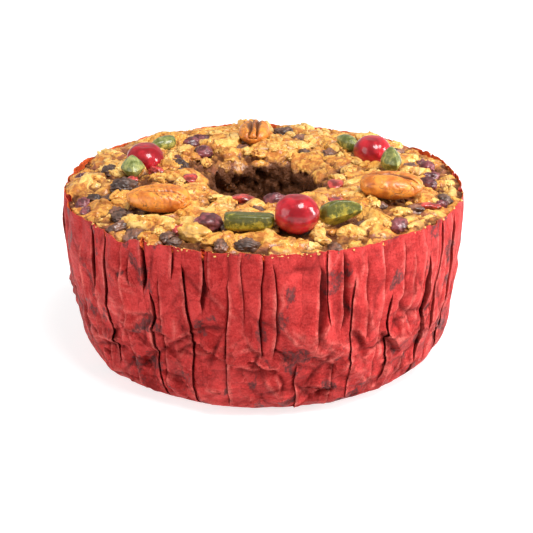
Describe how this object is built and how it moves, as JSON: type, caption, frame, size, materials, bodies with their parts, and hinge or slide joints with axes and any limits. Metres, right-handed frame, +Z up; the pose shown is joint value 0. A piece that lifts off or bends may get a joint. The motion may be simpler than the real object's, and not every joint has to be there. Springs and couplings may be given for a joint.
{
  "type": "nut ring cake",
  "caption": "Round ring cake packed with nuts and candied fruit, in a pleated red paper case; glazed cherries, green fruit slices and pecan halves lie on top round the hole.",
  "frame": {"origin": "centre of the paper case's flat base, on the surface the cake stands on", "axes": "+Z up along the axis of the hole, -Y towards the front, +X to the right seen from the front"},
  "size_m": [0.1864, 0.1865, 0.0995],
  "materials": {
    "cake_ring": "satin",
    "paper_case": "matte",
    "cherry": "gloss",
    "green_slice": "gloss",
    "pecan": "satin",
    "dark_cherry": "satin",
    "raisin": "satin",
    "cherry_slice": "gloss",
    "pale_fruit": "satin"
  },
  "bodies": {
    "root": {"cake_ring": "cake_ring", "paper_case": "paper_case", "cherry_front": "cherry", "cherry_right": "cherry", "cherry_left": "cherry", "green_front_left": "green_slice", "green_front_right": "green_slice", "green_right_front": "green_slice", "green_right_back": "green_slice", "green_left_front": "green_slice", "green_left_back": "green_slice", "pecan_left": "pecan", "pecan_right": "pecan", "pecan_back": "pecan", "dark_cherry_1": "dark_cherry", "dark_cherry_2": "dark_cherry", "dark_cherry_3": "dark_cherry", "dark_cherry_4": "dark_cherry", "dark_cherry_5": "dark_cherry", "dark_cherry_6": "dark_cherry", "dark_cherry_7": "dark_cherry", "raisin_1": "raisin", "raisin_2": "raisin", "raisin_3": "raisin", "raisin_4": "raisin", "raisin_5": "raisin", "raisin_6": "raisin", "cherry_slice_1": "cherry_slice", "cherry_slice_2": "cherry_slice", "cherry_slice_3": "cherry_slice", "cherry_slice_4": "cherry_slice", "cherry_slice_5": "cherry_slice", "pale_fruit": "pale_fruit"}
  },
  "joints": []
}
